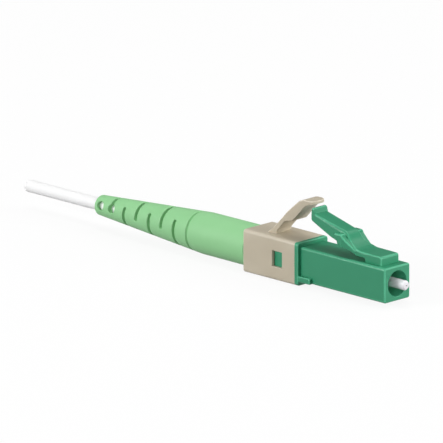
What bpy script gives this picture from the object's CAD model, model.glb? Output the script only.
"""Looks of a small latching fibre plug: housing, latch, trigger, collar, slotted boot and cable stub.

Where nothing else is said, sizes and places are in millimetres, in the frame of the loaded model.
Meshes are written in metres.
"""
import logging
import math
from dataclasses import dataclass, field
from enum import Enum

import bmesh
import bpy
import numpy as np
from mathutils import Matrix, Vector


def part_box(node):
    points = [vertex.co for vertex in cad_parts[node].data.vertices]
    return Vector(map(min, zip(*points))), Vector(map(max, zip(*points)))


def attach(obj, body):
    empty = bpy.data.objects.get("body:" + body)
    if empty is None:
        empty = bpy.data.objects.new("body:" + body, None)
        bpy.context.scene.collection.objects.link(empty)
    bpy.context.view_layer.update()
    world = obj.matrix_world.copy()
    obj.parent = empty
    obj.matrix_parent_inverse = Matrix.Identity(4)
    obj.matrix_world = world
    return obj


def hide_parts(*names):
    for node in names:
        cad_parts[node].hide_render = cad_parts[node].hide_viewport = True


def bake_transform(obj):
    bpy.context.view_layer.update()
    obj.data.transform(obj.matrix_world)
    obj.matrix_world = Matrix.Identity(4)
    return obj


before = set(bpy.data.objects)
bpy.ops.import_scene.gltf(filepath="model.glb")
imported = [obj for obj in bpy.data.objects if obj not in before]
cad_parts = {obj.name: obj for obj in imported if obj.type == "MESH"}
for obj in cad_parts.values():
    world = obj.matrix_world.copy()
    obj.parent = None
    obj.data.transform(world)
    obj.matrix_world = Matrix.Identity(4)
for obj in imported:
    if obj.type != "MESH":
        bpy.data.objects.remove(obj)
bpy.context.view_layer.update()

Array = np.ndarray
Node = bpy.types.Node
Socket = bpy.types.NodeSocket
Tree = bpy.types.NodeTree
Mesh = bpy.types.Mesh
Material = bpy.types.Material
Piece = bpy.types.Object
Colour = tuple[float, float, float]
Place = tuple[float, float, float]
Corners = list[Place]

LOG = logging.getLogger("plug")
MM = 0.001
TINY = 1e-6
WHITE = (1.0, 1.0, 1.0, 1.0)

# Worn edges: how far down a face may look, and the bends, one over a radius, where wear starts and is full.
EDGE_ATTRIBUTE = "edge"
UNDER_LIMIT = 0.5
SLACK_BEND = 1.0
TIGHT_BEND = 4.0

# Meshes: creases, the gap that welding closes, the share of a corner that an inset leaves, and fineness.
SHARP_TURN = math.radians(38.0)
WELD = 0.0005
LEAST_BEND = 0.25
ARC_STEPS = 6
BAR_STEPS = 4
STRAP_STOPS = 9

# Curve between the colour that a screen shows and the light that it stands for.
SCREEN_KNEE = 0.04045
SCREEN_SLOPE = 12.92
SCREEN_OFFSET = 0.055
SCREEN_POWER = 2.4

# Sockets of a Mix node that mixes colours.
MIX_FIRST = 6
MIX_SECOND = 7
MIX_RESULT = 2

# Patterns of the shared effects, with scales per metre.
RELIEF_SCALE = 9000.0
CLOUD_SCALE = 400.0
GRAIN_DETAIL = 3.0
GRAIN_ROUGHNESS = 0.6
CLOUD_DETAIL = 2.0
CLOUD_ROUGHNESS = 0.5
BARE_EDGE = 0.25
RING_WANDER = 2.0
RING_DETAIL = 2.0
BLOTCH_DETAIL = 3.0


class Body(Enum):
    """Rigid bodies of the frame that pieces move with."""

    PLUG = "body"
    LATCH = "latch"
    TRIGGER = "trigger"
    FERRULE = "ferrule_assembly"


class Slot(Enum):
    """Material slots of the record."""

    GREEN = "green_plastic"
    BEIGE = "beige_plastic"
    CERAMIC = "ceramic"
    GLASS = "fibre_glass"
    HOLDER = "holder_metal"
    TUBE = "tube_plastic"
    SPRING = "spring_steel"
    BACKBONE = "backbone_metal"
    SLEEVE = "sleeve_metal"
    BOOT = "boot_rubber"
    JACKET = "white_jacket"
    YARN = "yarn"
    BUFFER = "buffer_plastic"


def rounded_path(corners: Corners, steps: int = ARC_STEPS) -> Array:
    """Open path whose corners are round.

    A corner P with unit legs a and b becomes the rational quadratic curve from P + reach a to P + reach b.
    P is its middle point, weighted by the sine of half the corner's angle, so it is an arc of a circle.

    Args:
        corners: Places along two axes, and the radius of the rounding there.
        steps: Pieces of each arc.

    Returns:
        Points of the path, one per row.
    """
    table = np.array(corners, float)
    points = table[:, :2]
    to_last = np.roll(points, 1, axis=0) - points
    to_next = np.roll(points, -1, axis=0) - points
    last_run = np.linalg.norm(to_last, axis=1, keepdims=True) + TINY
    next_run = np.linalg.norm(to_next, axis=1, keepdims=True) + TINY
    to_last = to_last / last_run
    to_next = to_next / next_run
    half = np.arccos(np.clip(np.sum(to_last * to_next, axis=1, keepdims=True), -1.0, 1.0)) / 2 + TINY
    reach = np.minimum(table[:, 2:] / np.tan(half), np.minimum(last_run, next_run) / 2)
    reach[[0, -1]] = 0.0
    along = np.linspace(0.0, 1.0, steps + 1)[None, :, None]
    first, last = (1 - along) ** 2, along ** 2
    middle = 2 * along * (1 - along) * np.sin(half)[:, :, None]
    start = (points + reach * to_last)[:, None, :]
    end = (points + reach * to_next)[:, None, :]
    curve = (first * start + middle * points[:, None, :] + last * end) / (first + middle + last)
    path = curve.reshape(-1, 2)
    moves = np.linalg.norm(np.diff(path, axis=0), axis=1) > TINY
    return path[np.concatenate([[True], moves])]


def evenly(path: Array, count: int) -> Array:
    """Points spaced evenly along a path, by its arc length.

    Args:
        path: Points of the path, one per row.
        count: How many points to give.

    Returns:
        The new points, one per row.
    """
    run = np.concatenate([[0.0], np.cumsum(np.linalg.norm(np.diff(path, axis=0), axis=1))])
    places = np.linspace(0.0, run[-1], count)
    return np.column_stack([np.interp(places, run, path[:, axis]) for axis in range(path.shape[1])])


def rounded_sections(
    half_width: Array, half_height: Array, radius: Array, across_stops: Array, up_stops: Array,
    steps: int = ARC_STEPS,
) -> tuple[Array, Array]:
    """Rounded rectangles, one per row, all with the same number of points.

    Each corner is a quarter circle about (width - radius, height - radius). The stops are extra points on
    the straight runs, held within them, so a section whose radius is its half size is a circle.

    Args:
        half_width: Half width of each section.
        half_height: Half height of each section.
        radius: Corner radius of each section.
        across_stops: Places of the extra points on the upper and lower runs, rising.
        up_stops: Places of the extra points on the side runs, rising.
        steps: Pieces of each quarter circle.

    Returns:
        The places across and up, one row per section.
    """
    sizes = (half_width, half_height, radius)
    wide, high, bend = (np.asarray(size, float).reshape(-1, 1) for size in sizes)
    turn = np.linspace(0.0, math.pi / 2, steps + 1)[None, :]
    across_run = np.clip(np.asarray(across_stops)[None, :], bend - wide, wide - bend)
    up_run = np.clip(np.asarray(up_stops)[None, :], bend - high, high - bend)
    across, up = [], []
    signs = ((1, 1), (-1, 1), (-1, -1), (1, -1))
    for quarter, (side, rise) in enumerate(signs):
        angle = turn + quarter * math.pi / 2
        across.append(side * (wide - bend) + bend * np.cos(angle))
        up.append(rise * (high - bend) + bend * np.sin(angle))
        order = -1 if quarter < 2 else 1
        if quarter % 2 == 0:
            across.append(across_run[:, ::order])
            up.append(rise * high * np.ones_like(across_run))
        else:
            across.append(side * wide * np.ones_like(up_run))
            up.append(up_run[:, ::order])
    return np.hstack(across), np.hstack(up)


def grid_quads(rows: int, columns: int, wrap_rows: bool, wrap_columns: bool) -> Array:
    """Four-cornered faces of a grid of points.

    Args:
        rows: Rows of the grid.
        columns: Columns of the grid.
        wrap_rows: Whether the last row joins the first.
        wrap_columns: Whether the last column joins the first.

    Returns:
        Point numbers of the faces, shaped (rows of faces, columns of faces, 4).
    """
    index = np.arange(rows * columns).reshape(rows, columns)
    after = np.roll(index, -1, axis=0)
    quads = np.stack([index, np.roll(index, -1, axis=1), np.roll(after, -1, axis=1), after], axis=-1)
    quads = quads if wrap_rows else quads[:-1]
    return quads if wrap_columns else quads[:, :-1]


@dataclass
class Surface:
    """Points in millimetres and the four-cornered faces between them."""

    points: Array
    quads: Array

    @classmethod
    def from_grid(cls, points: Array, wrap_rows: bool = False, wrap_columns: bool = True) -> "Surface":
        """Surface over a grid of points.

        Args:
            points: The grid, shaped (rows, columns, 3).
            wrap_rows: Whether the last row joins the first.
            wrap_columns: Whether the last column joins the first.

        Returns:
            The surface.
        """
        rows, columns = points.shape[:2]
        quads = grid_quads(rows, columns, wrap_rows, wrap_columns)
        return cls(points.reshape(-1, 3), quads.reshape(-1, 4))

    @classmethod
    def joined(cls, *parts: "Surface") -> "Surface":
        """Put surfaces together.

        Args:
            *parts: The surfaces.

        Returns:
            One surface that holds the points and faces of all the parts.
        """
        counts = np.cumsum([0] + [len(part.points) for part in parts[:-1]])
        quads = [part.quads + count for part, count in zip(parts, counts)]
        return cls(np.concatenate([part.points for part in parts]), np.concatenate(quads))

    def moved(self, x: float = 0.0, y: float = 0.0, z: float = 0.0) -> "Surface":
        """The surface at another place."""
        return Surface(self.points + np.array([x, y, z]), self.quads)

    def mirrored(self) -> "Surface":
        """The surface on the other side of the plane y = 0, with its faces turned back outwards."""
        return Surface(self.points * np.array([1.0, -1.0, 1.0]), self.quads[:, ::-1])

    def to_object(self, name: str) -> Piece:
        """Mesh object at the origin, with its seams and poles closed and its faces outwards.

        Args:
            name: Name of the piece.

        Returns:
            The object, with smooth faces, sharp creases and the edge attribute.
        """
        mesh = bpy.data.meshes.new(name)
        mesh.from_pydata((self.points * MM).tolist(), [], self.quads.tolist())
        shape = bmesh.new()
        shape.from_mesh(mesh)
        bmesh.ops.remove_doubles(shape, verts=shape.verts, dist=WELD * MM)
        bmesh.ops.dissolve_degenerate(shape, dist=TINY * MM, edges=shape.edges)
        bmesh.ops.recalc_face_normals(shape, faces=shape.faces)
        shape.to_mesh(mesh)
        shape.free()
        mesh.shade_smooth()
        mesh.set_sharp_from_angle(angle=SHARP_TURN)
        mark_edges(mesh)
        piece = bpy.data.objects.new(name, mesh)
        bpy.context.scene.collection.objects.link(piece)
        return piece


def mark_edges(mesh: Mesh) -> None:
    """Write how tightly the surface is rounded at each point, as an attribute from 0 to 1.

    Along a mesh edge the bend is the change of the normal, taken along the edge, over the edge's length. It
    is one over the radius of an outer rounding. A point takes the second strongest bend of its edges, so a
    point where a rounding runs out into a flat face counts as flat. Edges that face down stay at 0, because
    nothing rubs them.

    Args:
        mesh: Mesh that gets the attribute.
    """
    ends = np.zeros(len(mesh.edges) * 2, np.int32)
    mesh.edges.foreach_get("vertices", ends)
    places = np.zeros(len(mesh.vertices) * 3, np.float32)
    normals = np.zeros_like(places)
    mesh.vertices.foreach_get("co", places)
    mesh.vertices.foreach_get("normal", normals)
    step = np.diff(places.reshape(-1, 3)[ends.reshape(-1, 2)] / MM, axis=1)[:, 0]
    turn = np.diff(normals.reshape(-1, 3)[ends.reshape(-1, 2)], axis=1)[:, 0]
    bend = np.repeat(np.sum(step * turn, axis=1) / np.maximum(np.sum(step * step, axis=1), TINY), 2)
    order = np.lexsort((-bend, ends))
    points, strongest = np.unique(ends[order], return_index=True)
    share = np.zeros(len(mesh.vertices), np.float32)
    share[points] = (bend[order][strongest + 1] - SLACK_BEND) / (TIGHT_BEND - SLACK_BEND)
    rubbed = np.clip(1.0 + normals[2::3] / UNDER_LIMIT, 0.0, 1.0)
    share = np.clip(share, 0.0, 1.0) * rubbed
    marks = mesh.attributes.new(EDGE_ATTRIBUTE, "FLOAT", "POINT").data
    marks.foreach_set("value", share.astype(np.float32))


def skin_rows(path: Array, half_width: float, half_height: float, radius: float) -> Array:
    """Sections along a path of (x, inset): a rounded rectangle that shrinks by the inset on every side.

    Args:
        path: Places along x and their insets.
        half_width: Half width with no inset.
        half_height: Half height with no inset.
        radius: Corner radius with no inset.

    Returns:
        Rows of (x, half width, half height, radius).
    """
    inset = path[:, 1]
    wide, high = np.maximum(half_width - inset, 0.0), np.maximum(half_height - inset, 0.0)
    bend = np.minimum(np.maximum(radius - inset, radius * LEAST_BEND), np.minimum(wide, high))
    return np.column_stack([path[:, 0], wide, high, bend])


def round_rows(path: Array) -> Array:
    """Circular sections along a path of (x, radius), as rows of (x, half width, half height, radius)."""
    return path[:, [0, 1, 1, 1]]


def section_grid(rows: Array, across_stops: Array, up_stops: Array, steps: int = ARC_STEPS) -> Array:
    """Grid of points of rounded sections across x, from rows of (x, half width, half height, radius)."""
    across, up = rounded_sections(rows[:, 1], rows[:, 2], rows[:, 3], across_stops, up_stops, steps)
    return np.stack([np.broadcast_to(rows[:, :1], across.shape), across, up], axis=-1)


def rounded_bar(
    front: float, rear: float, half_width: float, half_height: float, edge: float, end: float
) -> Surface:
    """Closed bar along x: its long edges are rounded by one radius and its ends by another.

    Args:
        front: Place of the front end.
        rear: Place of the rear end.
        half_width: Half size across y.
        half_height: Half size up z.
        edge: Radius of the long edges.
        end: Radius at both ends.

    Returns:
        The bar about the x axis.
    """
    closed = max(half_width, half_height)
    run = 2 * end
    path = rounded_path([
        (front, closed, 0),
        (front, 0, end),
        (front - run, 0, 0),
        (rear + run, 0, 0),
        (rear, 0, end),
        (rear, closed, 0),
    ])
    rows = skin_rows(path, half_width, half_height, edge)
    across, up = (np.array([2 * edge - half, 0.0, half - 2 * edge]) for half in (half_width, half_height))
    return Surface.from_grid(section_grid(rows, np.sort(across), np.sort(up), BAR_STEPS))


def turned(path: Array, columns: int, wrap: bool) -> Surface:
    """Surface of revolution about x: the point (x, r) runs through (x, r sin a, r cos a) for every angle a.

    Args:
        path: Points (x, r) of the profile.
        columns: Points around.
        wrap: Whether the profile closes on itself.

    Returns:
        The turned surface.
    """
    angle = np.arange(columns) * (2 * math.pi / columns)
    x, r = path[:, :1], path[:, 1:]
    points = np.stack([x * np.ones_like(angle), r * np.sin(angle), r * np.cos(angle)], axis=-1)
    return Surface.from_grid(points, wrap_rows=wrap)


def strap_between(
    lower: Array, upper: Array, half_width: Array, edge: float,
    top_width: Array | None = None, shoulder: float = 0.0,
) -> Surface:
    """Bent strap between two side-view curves.

    The section at each step is a rounded rectangle spanned by the line from the lower to the upper curve
    and by y. Its sides lean in over the last stretch below the top where the top is narrower. Both curves
    start and end at shared points, so the strap closes there.

    Args:
        lower: Points (x, z) of the underside.
        upper: As many points (x, z) of the upper side.
        half_width: Half width across y at each step.
        edge: Radius of the long edges.
        top_width: Half width of the top at each step, where it is narrower.
        shoulder: How far below the top the sides start to lean in.

    Returns:
        The closed strap.
    """
    middle, reach = (lower + upper) / 2, (upper - lower) / 2
    height = np.linalg.norm(reach, axis=1)
    lift = reach / np.maximum(height, TINY)[:, None]
    bend = np.minimum(edge, height)
    widest = float(np.max(half_width))
    stops = np.linspace(-widest, widest, STRAP_STOPS)[1:-1]
    side_stops = np.linspace(0.0, float(np.max(height)), STRAP_STOPS)[:-1]
    across, up = rounded_sections(half_width, height, bend, stops, side_stops)
    if top_width is not None:
        lean = np.clip(1.0 - (height[:, None] - up) / shoulder, 0.0, 1.0)
        across = across * (1.0 + lean * (top_width / half_width - 1.0)[:, None])
    x = middle[:, :1] + up * lift[:, :1]
    z = middle[:, 1:] + up * lift[:, 1:]
    return Surface.from_grid(np.stack([x, across, z], axis=-1))


def pierced_shell(levels: list[Array], keep: Array) -> Surface:
    """Wall of a tube with openings.

    The first grid is the outer skin and the last is the inner one. Both have faces where there is material.
    Around every opening, and at both ends, strips run through all the grids from the first to the last.

    Args:
        levels: Grids shaped (rows, columns, 3) alike, from outside to inside. Their columns close round.
        keep: Which cells (rows - 1, columns) have material.

    Returns:
        The closed wall.
    """
    rows, columns = levels[0].shape[:2]
    count = rows * columns
    index = np.arange(count).reshape(rows, columns)
    quads = grid_quads(rows, columns, False, True)[keep]
    padded = np.vstack([np.zeros(columns, bool), keep, np.zeros(columns, bool)])
    round_edges = np.stack([index, np.roll(index, -1, axis=1)], axis=-1)[padded[:-1] != padded[1:]]
    long_edges = np.stack([index[:-1], index[1:]], axis=-1)[keep != np.roll(keep, 1, axis=1)]
    rim = np.concatenate([round_edges, long_edges])
    strips = [
        np.column_stack([rim + level * count, rim[:, ::-1] + (level + 1) * count])
        for level in range(len(levels) - 1)
    ]
    points = np.concatenate([level.reshape(-1, 3) for level in levels])
    inner = quads[:, ::-1] + (len(levels) - 1) * count
    return Surface(points, np.concatenate([quads, inner, *strips]))


def linear(colour: Colour) -> tuple[float, float, float, float]:
    """Light that a colour on a screen stands for: a straight line below the knee and a power above it.

    Args:
        colour: The colour as it shows on a screen.

    Returns:
        The scene-linear colour, with alpha.
    """
    shown = np.array(colour)
    low = shown / SCREEN_SLOPE
    high = ((shown + SCREEN_OFFSET) / (1.0 + SCREEN_OFFSET)) ** SCREEN_POWER
    return (*np.where(shown <= SCREEN_KNEE, low, high).tolist(), 1.0)


class NodeSheet:
    """Adds nodes to one shader tree and links them."""

    def __init__(self, tree: Tree) -> None:
        """Start on a tree, with nothing in it."""
        self.tree = tree
        tree.nodes.clear()

    def add(self, kind: str, **values: object) -> Node:
        """Add a node.

        Args:
            kind: Type name of the node.
            **values: Properties of the node, or its inputs by name with spaces written as underscores.

        Returns:
            The new node.
        """
        node = self.tree.nodes.new(kind)
        for name, value in values.items():
            if hasattr(node, name):
                setattr(node, name, value)
            else:
                node.inputs[name.replace("_", " ")].default_value = value
        return node

    def link(self, source: Socket, target: Socket) -> None:
        """Link an output to an input."""
        self.tree.links.new(source, target)

    def feed(self, value: object, target: Socket) -> None:
        """Give an input a value, which is an output to link or a constant.

        Args:
            value: The output or the constant.
            target: The input.
        """
        if isinstance(value, Socket):
            self.link(value, target)
        else:
            target.default_value = value

    def math(self, operation: str, first: object, second: object) -> Socket:
        """Add a Math node.

        Args:
            operation: What it works out.
            first: First input, an output to link or a number.
            second: Second input, likewise.

        Returns:
            Its output.
        """
        node = self.add("ShaderNodeMath", operation=operation)
        self.feed(first, node.inputs[0])
        self.feed(second, node.inputs[1])
        return node.outputs[0]

    def mix(self, mask: Socket, first: object, second: object) -> Socket:
        """Add a Mix node for two colours.

        Args:
            mask: Share of the second colour.
            first: First colour, an output to link or a constant.
            second: Second colour, likewise.

        Returns:
            The mixed colour.
        """
        node = self.add("ShaderNodeMix", data_type="RGBA")
        self.link(mask, node.inputs[0])
        self.feed(first, node.inputs[MIX_FIRST])
        self.feed(second, node.inputs[MIX_SECOND])
        return node.outputs[MIX_RESULT]


class EffectGroups:
    """Shader node groups that several finishes share."""

    def __init__(self) -> None:
        """Build each group once."""
        self.moulding = self._moulding()
        self.turning = self._turning()

    @staticmethod
    def _new(name: str, outputs: list[str]) -> tuple[NodeSheet, Tree]:
        """Start a group with an input for each of its two scales.

        Args:
            name: Name of the group.
            outputs: Names of the outputs.

        Returns:
            The sheet to draw on, and the group.
        """
        group = bpy.data.node_groups.new(name, "ShaderNodeTree")
        for label, scale in (("Relief Scale", RELIEF_SCALE), ("Cloud Scale", CLOUD_SCALE)):
            socket = group.interface.new_socket(label, in_out="INPUT", socket_type="NodeSocketFloat")
            socket.default_value = scale
        for label in outputs:
            group.interface.new_socket(label, in_out="OUTPUT", socket_type="NodeSocketFloat")
        return NodeSheet(group), group

    @staticmethod
    def _join(sheet: NodeSheet, relief: Node, cloud: Node) -> Node:
        """Lay two textures on object coordinates at the group's scales, and put them out.

        Args:
            sheet: Sheet of the group.
            relief: Texture of the relief.
            cloud: Texture of the cloud.

        Returns:
            The group's output node.
        """
        given = sheet.add("NodeGroupInput")
        place = sheet.add("ShaderNodeTexCoord").outputs["Object"]
        result = sheet.add("NodeGroupOutput")
        for texture, scale, label in ((relief, "Relief Scale", "Height"), (cloud, "Cloud Scale", "Cloud")):
            sheet.link(place, texture.inputs["Vector"])
            sheet.link(given.outputs[scale], texture.inputs["Scale"])
            sheet.link(texture.outputs["Fac"], result.inputs[label])
        return result

    def _moulding(self) -> Tree:
        """Draw a moulded surface: fine grain as a height, slow clouds, and worn edges broken by the grain.

        Returns:
            The group.
        """
        sheet, group = self._new("moulded_surface", ["Height", "Cloud", "Edge"])
        grain = sheet.add("ShaderNodeTexNoise", Detail=GRAIN_DETAIL, Roughness=GRAIN_ROUGHNESS)
        cloud = sheet.add("ShaderNodeTexNoise", Detail=CLOUD_DETAIL, Roughness=CLOUD_ROUGHNESS)
        result = self._join(sheet, grain, cloud)
        rounded = sheet.add("ShaderNodeAttribute", attribute_name=EDGE_ATTRIBUTE).outputs["Fac"]
        broken = sheet.math("MULTIPLY", rounded, sheet.math("ADD", grain.outputs["Fac"], BARE_EDGE))
        sheet.link(broken, result.inputs["Edge"])
        return group

    def _turning(self) -> Tree:
        """Draw turned metal: rings across x as a height, and blotches as a cloud.

        Returns:
            The group.
        """
        sheet, group = self._new("turned_surface", ["Height", "Cloud"])
        rings = sheet.add("ShaderNodeTexWave", Distortion=RING_WANDER, Detail=RING_DETAIL)
        rings.bands_direction = "X"
        self._join(sheet, rings, sheet.add("ShaderNodeTexNoise", Detail=BLOTCH_DETAIL))
        return group


@dataclass(frozen=True)
class Finish:
    """Surface finish: two colours that drift into each other, roughness limits and a fine relief."""

    name: str
    colour: Colour
    drift: Colour
    smooth: float = 0.35
    rough: float = 0.5
    relief_scale: float = RELIEF_SCALE
    cloud_scale: float = CLOUD_SCALE
    relief: float = 0.1
    relief_depth: float = 0.004

    def group(self, groups: EffectGroups) -> Tree:
        """Shared effect that gives the height and the cloud."""
        raise NotImplementedError

    def tint(self, sheet: NodeSheet, effect: Node, base: Socket) -> Socket:
        """Last change to the base colour."""
        return base

    def constants(self) -> dict[str, object]:
        """Shader inputs that are the same all over."""
        return {}

    def material(self, groups: EffectGroups) -> Material:
        """Build the material.

        Args:
            groups: The shared effects.

        Returns:
            The material, whose colour, roughness and normal come from its nodes.
        """
        made = bpy.data.materials.new(self.name)
        made.use_nodes = True
        sheet = NodeSheet(made.node_tree)
        output = sheet.add("ShaderNodeOutputMaterial")
        shader = sheet.add("ShaderNodeBsdfPrincipled")
        for label, value in self.constants().items():
            shader.inputs[label].default_value = value
        effect = sheet.add("ShaderNodeGroup", node_tree=self.group(groups))
        effect.inputs["Relief Scale"].default_value = self.relief_scale
        effect.inputs["Cloud Scale"].default_value = self.cloud_scale
        cloud = effect.outputs["Cloud"]
        base = sheet.mix(cloud, linear(self.colour), linear(self.drift))
        sheet.link(self.tint(sheet, effect, base), shader.inputs["Base Color"])
        gloss = sheet.add("ShaderNodeMapRange", To_Min=self.smooth, To_Max=self.rough)
        sheet.link(cloud, gloss.inputs["Value"])
        sheet.link(gloss.outputs["Result"], shader.inputs["Roughness"])
        bump = sheet.add("ShaderNodeBump", Strength=self.relief, Distance=self.relief_depth * MM)
        sheet.link(effect.outputs["Height"], bump.inputs["Height"])
        sheet.link(bump.outputs["Normal"], shader.inputs["Normal"])
        sheet.link(shader.outputs["BSDF"], output.inputs["Surface"])
        return made


@dataclass(frozen=True)
class MouldedPlastic(Finish):
    """Moulded plastic or rubber with a fine grain and paler rounded edges."""

    worn: Colour = (0.8, 0.8, 0.8)
    wear: float = 0.35
    gloss: float = 0.5

    def group(self, groups: EffectGroups) -> Tree:
        """The moulded surface."""
        return groups.moulding

    def tint(self, sheet: NodeSheet, effect: Node, base: Socket) -> Socket:
        """Paler colour along the rounded edges."""
        amount = sheet.math("MULTIPLY", effect.outputs["Edge"], self.wear)
        return sheet.mix(amount, base, linear(self.worn))

    def constants(self) -> dict[str, object]:
        """Level of the plain gloss."""
        return {"Specular IOR Level": self.gloss}


@dataclass(frozen=True)
class TurnedMetal(Finish):
    """Turned or drawn metal with fine rings."""

    def group(self, groups: EffectGroups) -> Tree:
        """The turned surface."""
        return groups.turning

    def constants(self) -> dict[str, object]:
        """Full metal."""
        return {"Metallic": 1.0}


@dataclass(frozen=True)
class PolishedCeramic(MouldedPlastic):
    """Dense polished ceramic under a clear gloss."""

    coat: float = 0.25
    coat_rough: float = 0.1
    depth_share: float = 0.7
    depth: float = 0.6
    depth_balance: Colour = (1.0, 1.0, 1.0)

    def constants(self) -> dict[str, object]:
        """Thin clear gloss over a ceramic that lets some light through.

        Returns:
            The inputs by name.
        """
        return {
            "Specular IOR Level": self.gloss,
            "Coat Weight": self.coat,
            "Coat Roughness": self.coat_rough,
            "Subsurface Weight": self.depth_share,
            "Subsurface Radius": self.depth_balance,
            "Subsurface Scale": self.depth * MM,
        }


@dataclass(frozen=True)
class ClearGlass(MouldedPlastic):
    """Glass of the bare fibre."""

    clearness: float = 0.8
    refraction: float = 1.46

    def constants(self) -> dict[str, object]:
        """Clear all through."""
        return {"Transmission Weight": self.clearness, "IOR": self.refraction}


FINISHES: dict[Slot, Finish] = {
    Slot.GREEN: MouldedPlastic(
        "housing_green", (0.13, 0.51, 0.365), (0.15, 0.535, 0.385), smooth=0.36, rough=0.46,
        worn=(0.34, 0.72, 0.56), wear=1.0, gloss=0.45,
    ),
    Slot.BEIGE: MouldedPlastic(
        "collar_beige", (0.72, 0.68, 0.60), (0.75, 0.71, 0.63), smooth=0.40, rough=0.52,
        worn=(0.88, 0.85, 0.79), wear=0.8, gloss=0.4,
    ),
    Slot.CERAMIC: PolishedCeramic(
        "ferrule_white", (0.88, 0.87, 0.89), (0.91, 0.90, 0.92), smooth=0.15, rough=0.22, relief=0.03,
        worn=(0.95, 0.95, 0.95), wear=0.1,
    ),
    Slot.GLASS: ClearGlass(
        "fibre_glass", (0.9, 0.93, 0.95), (0.93, 0.95, 0.96), smooth=0.04, rough=0.08, relief=0.02,
    ),
    Slot.HOLDER: TurnedMetal(
        "holder_steel", (0.72, 0.71, 0.69), (0.78, 0.77, 0.75), smooth=0.25, rough=0.4,
    ),
    Slot.TUBE: MouldedPlastic(
        "tube_natural", (0.88, 0.88, 0.85), (0.92, 0.92, 0.90), smooth=0.25, rough=0.35, relief=0.05,
    ),
    Slot.SPRING: TurnedMetal(
        "spring_steel", (0.66, 0.66, 0.66), (0.72, 0.72, 0.72), smooth=0.22, rough=0.34,
    ),
    Slot.BACKBONE: TurnedMetal(
        "backbone_nickel", (0.74, 0.71, 0.64), (0.79, 0.76, 0.69), smooth=0.24, rough=0.38,
    ),
    Slot.SLEEVE: TurnedMetal(
        "sleeve_nickel", (0.70, 0.67, 0.61), (0.75, 0.72, 0.66), smooth=0.3, rough=0.45,
    ),
    Slot.BOOT: MouldedPlastic(
        "boot_light_green", (0.55, 0.785, 0.555), (0.58, 0.805, 0.585), smooth=0.5, rough=0.62, relief=0.14,
        worn=(0.74, 0.93, 0.75), wear=0.1, gloss=0.35,
    ),
    Slot.JACKET: MouldedPlastic(
        "jacket_white", (0.95, 0.95, 0.95), (0.97, 0.97, 0.97), smooth=0.4, rough=0.5,
        worn=(0.98, 0.98, 0.98), wear=0.2,
    ),
    Slot.YARN: MouldedPlastic(
        "yarn_straw", (0.80, 0.70, 0.38), (0.90, 0.82, 0.52), smooth=0.6, rough=0.8, relief=0.6,
        relief_scale=16000.0, cloud_scale=5000.0, worn=(0.95, 0.9, 0.7),
    ),
    Slot.BUFFER: MouldedPlastic(
        "buffer_white", (0.90, 0.90, 0.89), (0.93, 0.93, 0.92), smooth=0.3, rough=0.4, relief=0.05,
    ),
}


@dataclass
class NodeBox:
    """Box of a node of the frame, in millimetres."""

    low: Vector
    high: Vector

    @classmethod
    def of(cls, node: str) -> "NodeBox":
        """Read the box from the frame."""
        low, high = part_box(node)
        return cls(low / MM, high / MM)


@dataclass
class SubAssembly:
    """Group of pieces with its finishes."""

    materials: dict[Slot, Material]
    pieces: list[tuple[Piece, Slot]] = field(default_factory=list, init=False)

    def add(
        self, name: str, surface: Surface, slot: Slot, nodes: tuple[str, ...], body: Body = Body.PLUG
    ) -> Piece:
        """Make a piece that rides on one body and stands for nodes of the frame.

        Args:
            name: Name of the piece.
            surface: Its surface.
            slot: Material slot that it takes its finish from.
            nodes: Nodes that it stands for.
            body: Body that it rides on.

        Returns:
            The piece.
        """
        piece = self.add_bare(name, surface, slot, nodes)
        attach(piece, body.value)
        return piece

    def add_bending(
        self, name: str, surface: Surface, slot: Slot, nodes: tuple[str, ...], body: Body,
        start: Place, end: Place,
    ) -> Piece:
        """Make a piece that bends from the plug's body into a moving one.

        Args:
            name: Name of the piece.
            surface: Its surface.
            slot: Material slot that it takes its finish from.
            nodes: Nodes that it stands for.
            body: Moving body.
            start: Place where it starts to leave the plug's body.
            end: Place from which it follows the moving body.

        Returns:
            The piece.
        """
        piece = self.add_bare(name, surface, slot, nodes)
        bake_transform(piece)
        return piece

    def add_bare(self, name: str, surface: Surface, slot: Slot, nodes: tuple[str, ...]) -> Piece:
        """Make a piece that isn't on a body yet.

        Args:
            name: Name of the piece.
            surface: Its surface.
            slot: Material slot that it takes its finish from.
            nodes: Nodes that it stands for.

        Returns:
            The piece.
        """
        piece = surface.to_object(name)
        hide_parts(*nodes)
        self.pieces.append((piece, slot))
        LOG.info("built %s with %d faces", name, len(piece.data.polygons))
        return piece

    def build(self) -> None:
        """Make the meshes."""
        raise NotImplementedError

    def dress(self) -> None:
        """Give each piece its material."""
        for piece, slot in self.pieces:
            piece.data.materials.clear()
            piece.data.materials.append(self.materials[slot])


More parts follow.
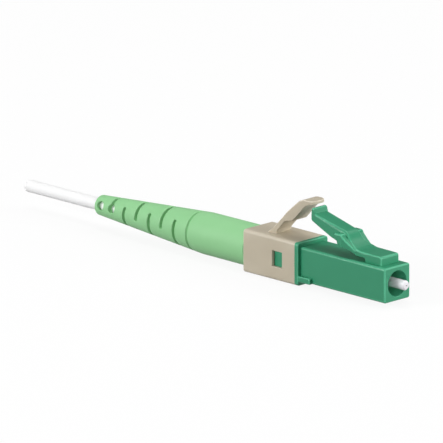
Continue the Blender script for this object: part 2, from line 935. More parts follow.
@dataclass
class PlugHousing(SubAssembly):
    """Green plug moulding: square nose with its bore, stop flange, ledges, rear barrel and snap teeth."""

    half_plug: float = 2.25
    plug_edge: float = 0.3
    nose_edge: float = 0.32
    nose_land: float = 0.4
    bore_lead: float = 0.04
    nose_bore: float = 1.65
    bore_rub: float = 0.6
    nose_bore_depth: float = 2.6
    bore_floor_bend: float = 0.1
    seat_web: float = 0.8
    seat_hole: float = 1.2
    seat_bend: float = 0.05
    spring_bore: float = 1.5
    spring_bore_rear: float = -11.46
    backbone_bore: float = 1.75
    flange_front: float = -14.75
    flange_rear: float = -15.35
    half_flange_width: float = 2.7
    half_flange_height: float = 2.78
    flange_corner: float = 0.4
    flange_edge: float = 0.15
    flange_land: float = 0.35
    seam_edge: float = 0.05
    half_barrel_width: float = 2.21
    half_barrel_height: float = 2.29
    barrel_corner: float = 0.25
    barrel_edge: float = 0.1
    barrel_land: float = 0.3
    ledge_length: float = 2.05
    ledge_height: float = 0.8
    ledge_lift: float = 0.02
    tooth_front: float = -17.63
    tooth_rear: float = -19.22
    tooth_height: float = 0.16
    tooth_lead: float = 0.05
    tooth_sink: float = 0.2
    half_tooth: float = 0.95
    stops: tuple[float, ...] = (-1.9, -1.2, 0.0, 1.2, 1.9)
    corner_steps: int = 12

    def build(self) -> None:
        """Make the moulding as one piece."""
        parts = [self.shell(), *self.ledges(), *self.teeth()]
        piece = self.add("plug_housing", Surface.joined(*parts), Slot.GREEN, ("front_housing",))
        self.rub_bore(piece.data)

    def rub_bore(self, mesh: Mesh) -> None:
        """Mark the nose bore as rubbed, as the sleeves of adapters leave it.

        Args:
            mesh: Mesh of the moulding.
        """
        places = np.zeros(len(mesh.vertices) * 3, np.float32)
        mesh.vertices.foreach_get("co", places)
        x, y, z = places.reshape(-1, 3).T / MM
        within = np.hypot(y, z) < self.nose_bore + self.bore_lead / 2
        inside = within & (x > -self.nose_bore_depth - self.bore_lead)
        share = np.zeros(len(mesh.vertices), np.float32)
        marks = mesh.attributes[EDGE_ATTRIBUTE].data
        marks.foreach_get("value", share)
        marks.foreach_set("value", np.where(inside, self.bore_rub, share).astype(np.float32))

    def shell(self) -> Surface:
        """Loft that runs forward over the outside, in through the nose bore and out again at the rear.

        Returns:
            The closed moulding, without its ledges and teeth.
        """
        rear = NodeBox.of("front_housing").low.x
        nose = rounded_path([(self.flange_front, 0, 0), (0, 0, self.nose_edge), (0, self.nose_land, 0)])
        bore = rounded_path([
            (0, self.nose_bore + self.bore_lead, 0),
            (-self.bore_lead, self.nose_bore, 0),
            (-self.nose_bore_depth, self.nose_bore, self.bore_floor_bend),
            (-self.nose_bore_depth, self.seat_hole, self.seat_bend),
            (-self.nose_bore_depth - self.seat_web, self.seat_hole, self.seat_bend),
            (-self.nose_bore_depth - self.seat_web, self.spring_bore, 0),
            (self.spring_bore_rear, self.spring_bore, 0),
            (self.spring_bore_rear, self.backbone_bore, 0),
            (rear, self.backbone_bore, 0),
        ])
        barrel = rounded_path([
            (rear, self.barrel_land, 0),
            (rear, 0, self.barrel_edge),
            (self.flange_rear, 0, 0),
        ])
        flange = rounded_path([
            (self.flange_rear, self.barrel_land, 0),
            (self.flange_rear, 0, self.seam_edge),
            (self.flange_front, 0, self.flange_edge),
            (self.flange_front, self.flange_land, 0),
        ])
        rows = np.concatenate([
            skin_rows(nose, self.half_plug, self.half_plug, self.plug_edge),
            round_rows(bore),
            skin_rows(barrel, self.half_barrel_width, self.half_barrel_height, self.barrel_corner),
            skin_rows(flange, self.half_flange_width, self.half_flange_height, self.flange_corner),
        ])
        stops = np.array(self.stops)
        return Surface.from_grid(section_grid(rows, stops, stops, self.corner_steps), wrap_rows=True)

    def ledges(self) -> list[Surface]:
        """Blocks at the lower corners in front of the stop flange.

        Returns:
            The block on each side.
        """
        inner = self.half_plug - self.plug_edge
        half_width = (self.half_flange_width - inner) / 2
        half_height = (self.ledge_height - self.ledge_lift) / 2
        front, rear = self.flange_front + self.ledge_length, self.flange_front - self.flange_edge
        block = rounded_bar(front, rear, half_width, half_height, self.flange_edge, self.flange_edge)
        block = block.moved(y=inner + half_width, z=half_height + self.ledge_lift - self.half_plug)
        return [block, block.mirrored()]

    def teeth(self) -> list[Surface]:
        """Low wedges on the barrel's sides that show in the collar's windows, sloping down to the rear.

        Returns:
            The wedge on each side.
        """
        half_depth = (self.tooth_sink + self.tooth_height) / 2
        edge = self.seam_edge
        tooth = rounded_bar(self.tooth_front, self.tooth_rear, half_depth, self.half_tooth, edge, edge)
        tooth = tooth.moved(y=self.half_barrel_width - self.tooth_sink + half_depth)
        share = (self.tooth_front - tooth.points[:, 0]) / (self.tooth_front - self.tooth_rear)
        tooth.points[:, 1] -= share * (self.tooth_height - self.tooth_lead)
        return [tooth, tooth.mirrored()]


@dataclass
class Latch(SubAssembly):
    """Green latch that springs from the plug's top: root, ramp, tail with a lip, and a lug on each side."""

    root_front: float = -1.28
    hinge_x: float = -4.1
    sunk: float = 1.95
    under: float = 2.7
    top: float = 3.4
    root_edge: float = 0.3
    root_fillet: float = 0.3
    ramp_foot: float = 1.3
    ramp_foot_rise: float = 0.05
    ramp_foot_bend: float = 3.5
    ramp_middle: float = 2.9
    ramp_middle_rise: float = 0.78
    ramp_middle_bend: float = 2.2
    ramp_head: float = 3.65
    ramp_head_rise: float = 1.88
    ramp_head_bend: float = 1.1
    tail_top: float = 6.68
    tail_height: float = 1.08
    tail_bend: float = 0.25
    lip_top: float = 7.28
    lip_length: float = 0.36
    lip_foot: float = 0.44
    lip_bend: float = 0.13
    under_bend_start: float = 1.85
    under_bend: float = 3.0
    belly: float = 0.24
    belly_place: float = 0.42
    belly_bend: float = 4.0
    half_width: float = 1.6
    half_tail: float = 1.2
    half_crest: float = 1.0
    crest_x: float = -8.1
    crest_foot: float = -6.9
    wide_end: float = -5.7
    crest_drop: float = 0.3
    edge: float = 0.2
    lug_rear: float = -9.17
    lug_front: float = -7.95
    lug_top: float = 5.1
    lug_under: float = 4.3
    lug_bend: float = 0.2
    lug_reach: float = 1.98
    lug_foot: Place = (0.2, 4.75, 0.3)
    heel: float = -8.76
    heel_bend: float = 0.08
    flank_start: float = -5.3
    flank_under: Corners = field(default_factory=lambda: [
        (-5.9, 2.85, 0.5), (-6.6, 3.2, 0.5), (-7.6, 3.4, 0.3), (-8.6, 3.6, 0.1),
    ])
    flank_top: Corners = field(default_factory=lambda: [(-6.1, 3.58, 1.0), (-7.0, 4.2, 1.0)])
    flex: float = 0.9
    samples: int = 260

    def build(self) -> None:
        """Make the latch, which bends at its root."""
        middle = (self.under + self.top) / 2
        start, end = (self.hinge_x + self.flex, 0, middle), (self.hinge_x - self.flex, 0, middle)
        surface = Surface.joined(self.arm(), self.shoulders())
        self.add_bending("latch", surface, Slot.GREEN, ("latch_arm",), Body.LATCH, start, end)

    def arm(self) -> Surface:
        """Strap from the root to the tail's lip, whose top is narrowest at the head of the ramp.

        Returns:
            The closed strap.
        """
        tail = NodeBox.of("latch_arm").low.x
        end = (tail, self.tail_top - self.tail_height / 2, 0)
        slope = (self.tail_top - self.top - self.ramp_head_rise) / (self.hinge_x - tail - self.ramp_head)
        bend_x, tail_under = self.hinge_x - self.under_bend_start, self.tail_top - self.tail_height
        belly_x = tail + self.belly_place * (bend_x - tail)
        belly_z = tail_under + self.belly_place * (self.under - tail_under) - self.belly
        lower = evenly(rounded_path([
            (self.root_front, self.sunk, 0),
            (self.hinge_x, self.sunk, 0),
            (self.hinge_x, self.under, self.root_fillet),
            (bend_x, self.under, self.under_bend),
            (belly_x, belly_z, self.belly_bend),
            (tail, tail_under, self.tail_bend),
            end,
        ]), self.samples)
        upper = evenly(rounded_path([
            (self.root_front, self.sunk, 0),
            (self.root_front, self.top, self.root_edge),
            (self.hinge_x - self.ramp_foot, self.top + self.ramp_foot_rise, self.ramp_foot_bend),
            (self.hinge_x - self.ramp_middle, self.top + self.ramp_middle_rise, self.ramp_middle_bend),
            (self.hinge_x - self.ramp_head, self.top + self.ramp_head_rise, self.ramp_head_bend),
            (tail + self.lip_foot, self.tail_top - slope * self.lip_foot, self.lip_bend),
            (tail + self.lip_length, self.lip_top, self.lip_bend),
            (tail, self.lip_top, self.lip_bend),
            end,
        ]), self.samples)
        x = (lower[:, 0] + upper[:, 0]) / 2
        half = np.interp(x, [self.crest_foot, self.wide_end], [self.half_tail, self.half_width])
        stations = [tail, self.crest_x, self.crest_foot, self.wide_end]
        top = np.interp(x, stations, [self.half_tail, self.half_crest, self.half_tail, self.half_width])
        return strap_between(lower, upper, half, self.edge, top, self.crest_drop)

    def shoulders(self) -> Surface:
        """Wider strap under the arm, from the foot of the ramp to the catch lugs at its rear end.

        Returns:
            The closed strap.
        """
        start = (self.flank_start, self.top - self.edge, 0)
        end = (self.lug_rear, (self.lug_top + self.lug_under) / 2, 0)
        lower = evenly(rounded_path([
            start,
            (self.flank_start, self.under + self.tail_bend, 0),
            *self.flank_under,
            (self.heel, self.lug_under, self.heel_bend),
            (self.lug_rear, self.lug_under, self.lug_bend),
            end,
        ]), self.samples)
        foot_ahead, foot_z, foot_bend = self.lug_foot
        upper = evenly(rounded_path([
            start,
            *self.flank_top,
            (self.lug_front + foot_ahead, foot_z, foot_bend),
            (self.lug_front, self.lug_top, self.lug_bend),
            (self.lug_rear, self.lug_top, self.lug_bend),
            end,
        ]), self.samples)
        x = (lower[:, 0] + upper[:, 0]) / 2
        half = np.interp(x, [self.lug_front, self.wide_end], [self.lug_reach, self.half_width])
        return strap_between(lower, upper, half, self.edge)


@dataclass
class Trigger(SubAssembly):
    """Beige anti-snag trigger: flared foot, thin neck, thick shoulder and a crown over the latch's lip."""

    half_width: float = 1.3
    edge: float = 0.14
    hinge_x: float = -19.8818
    hinge_z: float = 3.6
    collar_top: float = 2.78
    foot_sink: float = 0.2
    foot_x: float = -20.66
    half_foot: float = 0.69
    foot_bend: float = 0.25
    neck_angle: float = math.radians(46.5)
    half_neck: float = 0.32
    neck_length: float = 1.75
    neck_bend: float = 0.6
    shoulder: float = 1.35
    shoulder_slope: float = math.tan(math.radians(13.0))
    shoulder_bend: float = 0.45
    crown_bend: float = 2.2
    crown_before: float = 2.0
    crown_after: float = 0.45
    under_crown_bend: float = 2.6
    tip_thickness: float = 0.4
    tip_slope: float = math.tan(math.radians(14.0))
    tip_bend: float = 0.19
    tip_corner: float = 0.9
    flex_before: float = 0.45
    flex_after: float = 0.75
    samples: int = 240

    def neck(self, along: float, across: float) -> tuple[float, float]:
        """Place (x, z) at a distance along and across the neck from the hinge."""
        run, rise = math.cos(self.neck_angle), math.sin(self.neck_angle)
        return self.hinge_x + along * run - across * rise, self.hinge_z + along * rise + across * run

    def build(self) -> None:
        """Make the trigger, which bends at its neck."""
        start_x, start_z = self.neck(-self.flex_before, 0)
        end_x, end_z = self.neck(self.flex_after, 0)
        self.add_bending(
            "trigger", self.lever(), Slot.BEIGE, ("trigger_lever",), Body.TRIGGER,
            (start_x, 0, start_z), (end_x, 0, end_z),
        )

    def lever(self) -> Surface:
        """Strap from the foot to the tip, with the tip rounded as seen from above.

        Returns:
            The closed strap.
        """
        tip = NodeBox.of("trigger_lever").high
        tip_under = tip.z - self.tip_thickness
        low = self.collar_top - self.foot_sink
        rise_per_run = math.tan(self.neck_angle)
        step_x, step_z = self.neck(self.neck_length, -self.half_neck)
        shoulder_x = step_x + self.shoulder
        shoulder_z = step_z + self.shoulder * self.shoulder_slope
        under_rise = tip_under - shoulder_z - self.tip_slope * (tip.x - shoulder_x)
        under_x = shoulder_x + under_rise / (rise_per_run - self.tip_slope)
        under_z = tip_under - self.tip_slope * (tip.x - under_x)
        outer_x, outer_z = self.neck(0, self.half_neck)
        crown_x = outer_x + (tip.z - outer_z) / rise_per_run
        start, end = (self.foot_x, low, 0), (tip.x, tip.z - self.tip_thickness / 2, 0)
        lower = rounded_path([
            start,
            (self.foot_x + self.half_foot, low, 0),
            (self.foot_x + self.half_foot, self.collar_top, self.foot_bend),
            (*self.neck(0, -self.half_neck), self.neck_bend),
            (step_x, step_z, self.shoulder_bend),
            (shoulder_x, shoulder_z, self.shoulder_bend),
            (under_x, under_z, self.under_crown_bend),
            (tip.x, tip_under, self.tip_bend),
            end,
        ])
        upper = rounded_path([
            start,
            (self.foot_x - self.half_foot, low, 0),
            (self.foot_x - self.half_foot, self.collar_top, self.foot_bend),
            (outer_x, outer_z, self.neck_bend),
            (crown_x - self.crown_before / rise_per_run, tip.z - self.crown_before, self.crown_bend),
            (crown_x + self.crown_after, tip.z, self.crown_bend),
            (tip.x, tip.z, self.tip_bend),
            end,
        ])
        half = np.full(self.samples, self.half_width)
        strap = strap_between(evenly(lower, self.samples), evenly(upper, self.samples), half, self.edge)
        past = np.clip(strap.points[:, 0] - (tip.x - self.tip_corner), 0.0, self.tip_corner)
        half_plan = self.half_width - self.tip_corner + np.sqrt(self.tip_corner ** 2 - past ** 2)
        strap.points[:, 1] *= half_plan / self.half_width
        return strap


@dataclass
class Collar(SubAssembly):
    """Beige sleeve behind the flange, with a window in each side."""

    half_width: float = 2.7
    half_height: float = 2.78
    wall: float = 0.45
    corner: float = 0.4
    front_edge: float = 0.06
    front_land: float = 0.3
    rear_edge: float = 0.2
    rear_land: float = 0.4
    window_front: float = -17.55
    window_rear: float = -19.3
    half_window: float = 1.03
    window_edge: float = 0.06
    rounding_share: float = 0.3
    side_start: float = 1.0
    stops: tuple[float, ...] = (-1.5, 0.0, 1.5)
    corner_steps: int = 8

    def build(self) -> None:
        """Make the sleeve."""
        self.add("collar", self.sleeve(), Slot.BEIGE, ("trigger_collar",))

    def level(self, grow: float, depth: float) -> Array:
        """Grid of the sleeve's skin at a depth, with its windows grown on every side.

        Args:
            grow: How much further the windows reach here.
            depth: How far below the outer skin this grid lies.

        Returns:
            Points shaped (rows, columns, 3).
        """
        box = NodeBox.of("trigger_collar")
        front, rear = box.high.x, box.low.x
        before = rounded_path([
            (front, self.front_land, 0),
            (front, 0, self.front_edge),
            (self.window_front + grow, 0, 0),
        ])
        behind = rounded_path([
            (self.window_rear - grow, 0, 0),
            (rear, 0, self.rear_edge),
            (rear, self.rear_land, 0),
        ])
        path = np.concatenate([before, behind])
        path[:, 1] = np.maximum(path[:, 1], depth)
        rows = skin_rows(path, self.half_width, self.half_height, self.corner)
        reach = self.half_window + grow
        return section_grid(rows, np.array(self.stops), np.array([-reach, reach]), self.corner_steps)

    def sleeve(self) -> Surface:
        """Pierced shell whose cells at the windows, on both sides, are left open.

        Returns:
            The closed wall.
        """
        step = self.window_edge * self.rounding_share
        levels = [
            self.level(self.window_edge, 0.0),
            self.level(step, step),
            self.level(0.0, self.window_edge),
            self.level(0.0, self.wall),
        ]
        grid = levels[2]
        keep = np.ones((grid.shape[0] - 1, grid.shape[1]), bool)
        x, y, z = np.moveaxis((grid + np.roll(grid, -1, axis=1))[:-1] / 2, -1, 0)
        along = (self.window_rear + TINY < x) & (x <= self.window_front + TINY)
        keep[along & (np.abs(z) < self.half_window / 2) & (np.abs(y) > self.side_start)] = False
        return pierced_shell(levels, keep)


@dataclass
class Boot(SubAssembly):
    """Light green strain relief: grip, ring groove, and a tapered tail with slots and cross holes."""

    spigot_front: float = -22.0
    spigot_radius: float = 2.17
    spigot_bore: float = 1.85
    spigot_bend: float = 0.1
    front: float = -24.42
    front_radius: float = 2.718
    shoulder_bend: float = 0.15
    grip_rear: float = -33.12
    grip_radius: float = 2.69
    grip_bend: float = 8.7
    ring: float = -34.57
    half_ring: float = 0.2
    ring_depth: float = 0.3
    ring_bend: float = 0.04
    ring_edge: float = 0.05
    tail_radius: float = 1.29
    tail_bend: float = 0.42
    bore: float = 0.84
    bore_lip: float = 0.05
    step_rear: float = -31.25
    step_front: float = -31.2
    step_radius: float = 1.16
    flare_rear: float = -27.97
    flare_front: float = -26.57
    flare_radius: float = 1.79
    first_slot: float = -37.06
    slot_margin: float = 1.2
    last_slot: float = -48.985
    slot_count: int = 6
    half_slot: float = 0.25
    half_arc: float = math.radians(105.5)
    tail_hole: float = -51.1
    hole_radius: float = 0.6
    hole_margin: float = 0.05
    straight_reach: float = 1.05
    roll: float = math.radians(14.5)
    slot_edge: float = 0.03
    slot_growth: float = 0.12
    half_edge: float = 0.01
    half_growth: float = 0.035
    profile_steps: int = 8
    columns: int = 288
    between: int = 4

    def build(self) -> None:
        """Make the boot."""
        self.add("boot_relief", self.shell(), Slot.BOOT, ("boot",))

    def taper(self, x: Array) -> Array:
        """Radius of the tapered tail at a place along x."""
        rear = NodeBox.of("boot").low.x
        return np.interp(x, [rear, self.grip_rear], [self.tail_radius, self.grip_radius])

    def bore_at(self, x: Array) -> Array:
        """Radius of the stepped bore at a place along x."""
        stations = [self.step_rear, self.step_front, self.flare_rear, self.flare_front]
        return np.interp(x, stations, [self.bore, self.step_radius, self.step_radius, self.flare_radius])

    def on_taper(self, x: float, bend: float = 0.0) -> Place:
        """Corner (x, radius, bend) of the profile that lies on the taper."""
        return x, float(self.taper(x)), bend

    def openings(self) -> list[tuple[float, Array]]:
        """Half openings along x, at every angle, of each slot and hole.

        Over its arc a slot opens by its half width. Past the arc's end it closes like the circle
        root(width^2 - (r sin(angle past the end))^2). A hole is the circle root(radius^2 - (r cos(angle))^2).

        Returns:
            The station of each opening, from front to rear, and its half openings.
        """
        angle = np.arange(self.columns) * (2 * math.pi / self.columns) - self.roll
        stations = np.linspace(self.first_slot, self.last_slot, self.slot_count)
        result = []
        for number, station in enumerate(stations):
            centre = math.pi if number % 2 == 0 else 0.0
            away = np.abs((angle - centre + math.pi) % (2 * math.pi) - math.pi)
            past = float(self.taper(station)) * np.sin(np.clip(away - self.half_arc, 0.0, math.pi / 2))
            result.append((station, np.sqrt(np.maximum(self.half_slot ** 2 - past ** 2, 0.0))))
        station, opening = result[-1]
        result[-1] = (station, np.maximum(opening, self.hole(station, angle)))
        result.append((self.tail_hole, self.hole(self.tail_hole, angle)))
        return result

    def hole(self, station: float, angle: Array) -> Array:
        """Half openings of the cross hole at a station."""
        aside = float(self.taper(station)) * np.cos(angle)
        return np.sqrt(np.maximum(self.hole_radius ** 2 - aside ** 2, 0.0))

    def straighten(self, x: Array, angle: Array) -> Array:
        """How far the bore's points turn, so that the cross holes keep their width down to the bore.

        A point at the angle d from the hole's line lies r sin(d) aside. The same place on the bore is at
        the angle arcsin(r sin(d) / bore). Past the rim the turn fades to nothing at a right angle to it.

        Args:
            x: Places of the points along x.
            angle: Angle of each column.

        Returns:
            The turn of each point.
        """
        away = (angle - self.roll) % math.pi - math.pi / 2
        turn = np.zeros_like(x)
        for station in (self.last_slot, self.tail_hole):
            radius = float(self.taper(station))
            rim, bore_rim = math.asin(self.hole_radius / radius), math.asin(self.hole_radius / self.bore)
            within = np.arcsin(np.clip(radius * np.sin(away) / self.bore, -1.0, 1.0)) - away
            fade = np.clip((math.pi / 2 - np.abs(away)) / (math.pi / 2 - rim), 0.0, 1.0)
            past = np.sign(away) * (bore_rim - rim) * fade
            near = np.clip(self.straight_reach - np.abs(x - station), 0.0, self.hole_radius)
            turn += near / self.hole_radius * np.where(np.abs(away) < rim, within, past)
        return turn

    def shell(self) -> Surface:
        """Pierced shell over (x, angle), whose lines across x bend round the slots and holes.

        Returns:
            The closed wall.
        """
        rear = NodeBox.of("boot").low.x
        tail_front = self.tail_hole - self.hole_radius - self.hole_margin
        around = np.ones(self.columns)
        front = rounded_path([
            (self.spigot_front, self.spigot_bore, 0),
            (self.spigot_front, self.spigot_radius, self.spigot_bend),
            (self.front, self.spigot_radius, 0),
            (self.front, self.front_radius, self.shoulder_bend),
            (self.grip_rear, self.grip_radius, self.grip_bend),
            self.on_taper(self.ring + self.half_ring, self.ring_edge),
            (self.ring, float(self.taper(self.ring)) - self.ring_depth, self.ring_bend),
            self.on_taper(self.ring - self.half_ring, self.ring_edge),
            self.on_taper(self.first_slot + self.slot_margin),
        ], self.profile_steps)
        tail = rounded_path([
            self.on_taper(tail_front),
            (rear, self.tail_radius, self.tail_bend),
            (rear, self.bore + self.bore_lip, 0),
        ], self.profile_steps)
        openings = self.openings()
        lines, open_cells = self.lines(openings, front[-1, 0] * around, tail[0, 0] * around)
        x_front, r_front = front[:-1, :1] * around, front[:-1, 1:] * around
        x_tail, r_tail = tail[1:, :1] * around, tail[1:, 1:] * around
        angle = np.arange(self.columns) * (2 * math.pi / self.columns)

        def level(grow: float, depth: float) -> Array:
            """Grid of the skin at a depth, with its openings grown in proportion.

            Args:
                grow: Share by which the openings are wider here.
                depth: How far below the outer skin this grid lies.

            Returns:
                Points shaped (rows, columns, 3).
            """
            x_lines = lines[0] + grow * lines[1]
            x = np.concatenate([x_front, x_lines, x_tail])
            r = np.concatenate([r_front, self.taper(x_lines), r_tail]) - depth
            return np.stack([x, r * np.sin(angle), r * np.cos(angle)], axis=-1)

        outer = level(self.slot_growth, 0.0)
        half = level(self.half_growth, self.half_edge)
        full = level(0.0, self.slot_edge)
        r_inner, turn = self.bore_at(full[..., 0]), angle + self.straighten(full[..., 0], angle)
        inner = np.stack([full[..., 0], r_inner * np.sin(turn), r_inner * np.cos(turn)], axis=-1)
        keep = np.ones((outer.shape[0] - 1, self.columns), bool)
        first = len(x_front)
        keep[first:first + len(open_cells)] = ~open_cells
        return pierced_shell([outer, half, full, inner], keep)

    def lines(
        self, openings: list[tuple[float, Array]], first: Array, last: Array
    ) -> tuple[tuple[Array, Array], Array]:
        """Lines round the boot from the first to the last, two for each opening and even ones between.

        Args:
            openings: Stations and half openings.
            first: Line in front of the first opening.
            last: Line behind the last opening.

        Returns:
            The lines and how each moves when openings grow, and which cells between them are open.
        """
        zero = np.zeros_like(first)
        rims, growth = [first], [zero]
        for station, opening in openings:
            rims += [station + opening, station - opening]
            growth += [opening, -opening]
        rims.append(last)
        growth.append(zero)
        places, moves, opened = [rims[0]], [growth[0]], []
        for number in range(len(rims) - 1):
            inside = number % 2 == 1
            shares = [1.0] if inside else np.linspace(0.0, 1.0, self.between + 1)[1:]
            for share in shares:
                places.append(rims[number] + share * (rims[number + 1] - rims[number]))
                moves.append(growth[number] + share * (growth[number + 1] - growth[number]))
                width = growth[number] if inside else zero
                opened.append((width > 0) | (np.roll(width, -1) > 0))
        opened.append(np.zeros(self.columns, bool))
        return (np.array(places), np.array(moves)), np.array(opened)


@dataclass
class FerruleCore(SubAssembly):
    """White ferrule with its slanted end, the spring behind it and the coated fibre."""

    radius: float = 0.625
    rear_radius: float = 0.61
    rear_bend: float = 0.05
    rear: float = -4.89
    taper_start: float = -3.4
    lead: float = 0.3
    lead_bend: float = 0.1
    end_radius: float = 0.45
    end_bend: float = 0.03
    end_slope: float = math.tan(math.radians(8.0))
    hole: float = 0.0665
    face_rings: int = 5
    pin_columns: int = 72
    spring_front: float = -5.44
    spring_length: float = 6.0
    spring_turns: float = 6.5
    coil_radius: float = 1.05
    wire_radius: float = 0.15
    wire_columns: int = 10
    turn_steps: int = 36
    buffer_front: float = -5.16
    buffer_radius: float = 0.3
    buffer_fixed: float = -26.57
    buffer_rows: int = 60
    buffer_columns: int = 24

    def build(self) -> None:
        """Make the ferrule, the spring and the coated fibre."""
        self.add("ferrule_pin", self.pin(), Slot.CERAMIC, ("ferrule",), Body.FERRULE)
        rear = self.spring_front - self.spring_length
        self.add_bending(
            "ferrule_spring", self.spring(), Slot.SPRING, ("spring",), Body.FERRULE,
            (rear, 0, 0), (self.spring_front, 0, 0),
        )
        self.add_bending(
            "coated_fibre", self.coated_fibre(), Slot.BUFFER, ("fibre_buffer",), Body.FERRULE,
            (self.buffer_fixed, 0, 0), (self.buffer_front, 0, 0),
        )

    def pin(self) -> Surface:
        """Turned pin with a hole, cut off by the plane x = reach - slope (end radius - z).

        Returns:
            The closed pin.
        """
        reach = NodeBox.of("ferrule").high.x
        outside = rounded_path([
            (self.rear, self.hole, 0),
            (self.rear, self.rear_radius, self.rear_bend),
            (self.taper_start, self.radius, 0),
            (reach - self.lead, self.radius, self.lead_bend),
            (reach, self.end_radius, self.end_bend),
            (reach, self.hole, 0),
        ])
        face = np.linspace(outside[-2], outside[-1], self.face_rings)[1:]
        pin = turned(np.concatenate([outside[:-1], face]), self.pin_columns, True)
        limit = reach - self.end_slope * (self.end_radius - pin.points[:, 2])
        pin.points[:, 0] = np.minimum(pin.points[:, 0], limit)
        return pin

    def spring(self) -> Surface:
        """Round wire carried along a helix about x, with its ends closed.

        Returns:
            The closed wire.
        """
        turns = np.linspace(0.0, 1.0, int(self.spring_turns * self.turn_steps))
        angle = 2 * math.pi * self.spring_turns * turns
        start = self.spring_front - self.wire_radius
        x = start - turns * (self.spring_length - 2 * self.wire_radius)
        outward = np.stack([np.zeros_like(angle), np.sin(angle), np.cos(angle)], axis=-1)
        middle = self.coil_radius * outward
        middle[:, 0] = x
        wire = np.arange(self.wire_columns) * (2 * math.pi / self.wire_columns)
        size = np.full_like(turns, self.wire_radius)
        size[[0, -1]] = 0.0
        size = size[:, None, None]
        forward = np.array([1.0, 0.0, 0.0])
        ring = np.cos(wire)[None, :, None] * outward[:, None, :] + np.sin(wire)[None, :, None] * forward
        return Surface.from_grid(middle[:, None, :] + size * ring)

    def coated_fibre(self) -> Surface:
        """Thin rod from the ferrule to the cut end of the cable, closed at both ends.

        Returns:
            The closed rod.
        """
        rear = NodeBox.of("fibre_buffer").low.x
        body = np.linspace(self.buffer_front, rear, self.buffer_rows)
        path = np.column_stack([body, np.full_like(body, self.buffer_radius)])
        profile = np.vstack([(self.buffer_front, 0.0), path, (rear, 0.0)])
        return turned(profile, self.buffer_columns, False)


@dataclass
class CableStub(SubAssembly):
    """White jacket and the yarn under it, cut off square."""

    jacket_front: float = -27.99
    radius: float = 0.8
    bore: float = 0.5
    cut_edge: float = 0.04
    yarn_front: float = -21.45
    yarn_inner: float = 1.31
    yarn_outer: float = 1.47
    crimp_rear: float = -26.57
    flare_rear: float = -27.97
    yarn_core: float = 0.33
    yarn_slim: float = 0.47
    jacket_columns: int = 64
    yarn_columns: int = 48

    def build(self) -> None:
        """Make the jacket and the yarn."""
        rear = NodeBox.of("cable_jacket").low.x
        jacket = rounded_path([
            (self.jacket_front, self.bore, 0),
            (self.jacket_front, self.radius, 0),
            (rear, self.radius, self.cut_edge),
            (rear, self.bore, self.cut_edge),
            (self.jacket_front, self.bore, 0),
        ])
        self.add("cable_sheath", turned(jacket, self.jacket_columns, False), Slot.JACKET, ("cable_jacket",))
        yarn = rounded_path([
            (self.yarn_front, self.yarn_inner, 0),
            (self.yarn_front, self.yarn_outer, 0),
            (self.crimp_rear, self.yarn_outer, 0),
            (self.flare_rear, self.yarn_slim, 0),
            (rear, self.yarn_slim, 0),
            (rear, self.yarn_core, 0),
            (self.flare_rear, self.yarn_core, 0),
            (self.crimp_rear, self.yarn_inner, 0),
            (self.yarn_front, self.yarn_inner, 0),
        ])
        self.add("strength_yarn", turned(yarn, self.yarn_columns, False), Slot.YARN, ("aramid_yarn",))


@dataclass
class InnerPieces(SubAssembly):
    """Hidden pieces of the frame that keep their own meshes."""

    finishes: dict[str, Slot] = field(default_factory=lambda: {
        "optical_fibre": Slot.GLASS,
        "ferrule_flange": Slot.HOLDER,
        "guide_tube": Slot.TUBE,
        "backbone": Slot.BACKBONE,
        "crimp_sleeve": Slot.SLEEVE,
    })

    def build(self) -> None:
        """Take the pieces from the frame."""
        self.pieces = [(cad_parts[node], slot) for node, slot in self.finishes.items()]
        LOG.info("kept %s", ", ".join(self.finishes))


@dataclass(frozen=True)
class Lamp:
    """Square soft lamp: its direction from the part, its distance and side in metres, and its level."""

    name: str
    towards: Place
    distance: float
    size: float
    level: float

    def build(self, middle: Vector) -> None:
        """Make the lamp, whose level is the brightness of a white surface that faces it.

        Args:
            middle: Place that the lamp faces, in metres.
        """
        data = bpy.data.lights.new(self.name, "AREA")
        data.size, data.energy = self.size, self.level * (math.pi * self.distance) ** 2
        lamp = bpy.data.objects.new(self.name, data)
        lamp.location = middle + Vector(self.towards).normalized() * self.distance
        lamp.rotation_mode = "QUATERNION"
        lamp.rotation_quaternion = (middle - lamp.location).to_track_quat("-Z", "Y")
        lamp.visible_camera = False
        bpy.context.scene.collection.objects.link(lamp)


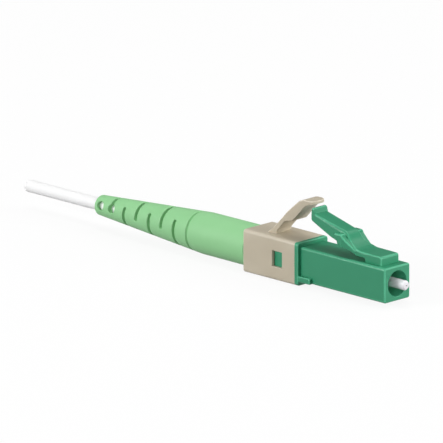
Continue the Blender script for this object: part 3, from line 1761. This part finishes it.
@dataclass
class Studio:
    """White floor, soft lamps and the camera."""

    azimuth: float = math.radians(44.79)
    elevation: float = math.radians(15.47)
    right_shift: float = -21.886
    up_shift: float = 7.694
    back_shift: float = -21.8
    frame_width: float = 55.615
    lens: float = 1600.0
    sensor: float = 36.0
    floor_half: float = 1500.0
    floor_gap: float = 0.02
    floor_glow: float = 0.9
    floor_shown: float = 0.9
    floor_bounce: float = 0.2
    world_light: float = 0.07
    dome_rise: float = 0.2
    dome_top: float = 0.2
    lamps: tuple[Lamp, ...] = (
        Lamp("key", (-0.40, -0.84, 0.33), distance=0.6, size=0.25, level=0.74),
        Lamp("front", (0.55, -0.76, 0.25), distance=0.8, size=0.35, level=0.26),
        Lamp("right", (0.88, 0.3, 0.2), distance=0.7, size=0.3, level=0.82),
        Lamp("over", (-0.1, 0.1, 1.0), distance=0.6, size=0.25, level=0.38),
        Lamp("top", (0.12, 0.66, 0.74), distance=0.6, size=0.4, level=0.26),
    )

    def axes(self) -> tuple[Vector, Vector, Vector]:
        """Directions to the right, up and back of the camera.

        Returns:
            The three unit vectors.
        """
        turn, lift = self.azimuth, self.elevation
        right = Vector((math.cos(turn), math.sin(turn), 0))
        back = Vector((math.sin(turn) * math.cos(lift), -math.cos(turn) * math.cos(lift), math.sin(lift)))
        return right, back.cross(right), back

    def build(self) -> None:
        """Make the floor, the lamps, the world and the camera."""
        self.camera()
        self.floor()
        self.world()
        for lamp in self.lamps:
            lamp.build(self.middle())

    def middle(self) -> Vector:
        """Place that the camera looks at, in metres."""
        right, up, back = self.axes()
        return (right * self.right_shift + up * self.up_shift + back * self.back_shift) * MM

    def camera(self) -> None:
        """Long lens, so that the view is nearly without perspective."""
        right, up, back = self.axes()
        data = bpy.data.cameras.new("view_camera")
        data.lens, data.sensor_width = self.lens, self.sensor
        camera = bpy.data.objects.new("view_camera", data)
        distance = self.frame_width / self.sensor * self.lens * MM
        turn = Matrix((right, up, back)).transposed().to_4x4()
        camera.matrix_world = Matrix.Translation(self.middle() + back * distance) @ turn
        bpy.context.scene.collection.objects.link(camera)
        bpy.context.scene.camera = camera

    def floor(self) -> None:
        """White floor under the part, which glows for the camera and keeps a faint shadow."""
        height = NodeBox.of("trigger_collar").low.z - self.floor_gap
        side = np.linspace(-self.floor_half, self.floor_half, 2)
        x, y = np.meshgrid(side, side)
        grid = np.stack([x, y, np.full_like(x, height)], axis=-1)
        floor = Surface.from_grid(grid, wrap_columns=False).to_object("floor")
        made = bpy.data.materials.new("floor_white")
        made.use_nodes = True
        sheet = NodeSheet(made.node_tree)
        seen = sheet.math("MAXIMUM", *self.rays(sheet))
        matt = sheet.add("ShaderNodeBsdfDiffuse")
        bounced, shown = ((level, level, level, 1.0) for level in (self.floor_bounce, self.floor_shown))
        sheet.link(sheet.mix(seen, bounced, shown), matt.inputs["Color"])
        glow = sheet.add("ShaderNodeEmission", Strength=1.0)
        share = sheet.add("ShaderNodeMixShader")
        sheet.link(sheet.math("MULTIPLY", seen, self.floor_glow), share.inputs[0])
        sheet.link(matt.outputs["BSDF"], share.inputs[1])
        sheet.link(glow.outputs["Emission"], share.inputs[2])
        sheet.link(share.outputs["Shader"], sheet.add("ShaderNodeOutputMaterial").inputs["Surface"])
        floor.data.materials.append(made)

    @staticmethod
    def rays(sheet: NodeSheet) -> tuple[Socket, Socket]:
        """Masks of the rays that the camera sends out, and of those that gloss or glass sends on.

        Args:
            sheet: Sheet to draw on.

        Returns:
            The two masks.
        """
        path = sheet.add("ShaderNodeLightPath").outputs
        bent = sheet.math("MAXIMUM", path["Is Glossy Ray"], path["Is Transmission Ray"])
        return path["Is Camera Ray"], bent

    def world(self) -> None:
        """Weak even light, in surroundings that are white for the camera and, low down, for gloss."""
        world = bpy.data.worlds.new("studio")
        bpy.context.scene.world = world
        world.use_nodes = True
        sheet = NodeSheet(world.node_tree)
        straight, bent = self.rays(sheet)
        view = sheet.add("ShaderNodeSeparateXYZ")
        sheet.link(sheet.add("ShaderNodeTexCoord").outputs["Generated"], view.inputs[0])
        dome = sheet.add(
            "ShaderNodeMapRange", From_Min=0.0, From_Max=self.dome_rise, To_Min=1.0, To_Max=self.dome_top
        )
        sheet.link(view.outputs["Z"], dome.inputs["Value"])
        glossy = sheet.math("MULTIPLY", bent, dome.outputs["Result"])
        level = sheet.math("MAXIMUM", glossy, straight)
        glow = sheet.add("ShaderNodeBackground")
        glow.inputs["Color"].default_value = WHITE
        sheet.link(sheet.math("MAXIMUM", level, self.world_light), glow.inputs["Strength"])
        sheet.link(glow.outputs["Background"], sheet.add("ShaderNodeOutputWorld").inputs["Surface"])


def main() -> None:
    """Build and dress every sub-assembly, then set up the studio."""
    logging.basicConfig(level=logging.INFO, format="%(name)s: %(message)s")
    bpy.context.scene.view_settings.view_transform = "Standard"
    groups = EffectGroups()
    materials = {slot: finish.material(groups) for slot, finish in FINISHES.items()}
    for kind in (PlugHousing, Latch, Collar, Trigger, Boot, FerruleCore, CableStub, InnerPieces):
        part = kind(materials)
        part.build()
        part.dress()
        LOG.info("dressed %s", kind.__name__)
    Studio().build()


if __name__ == "__main__":
    main()
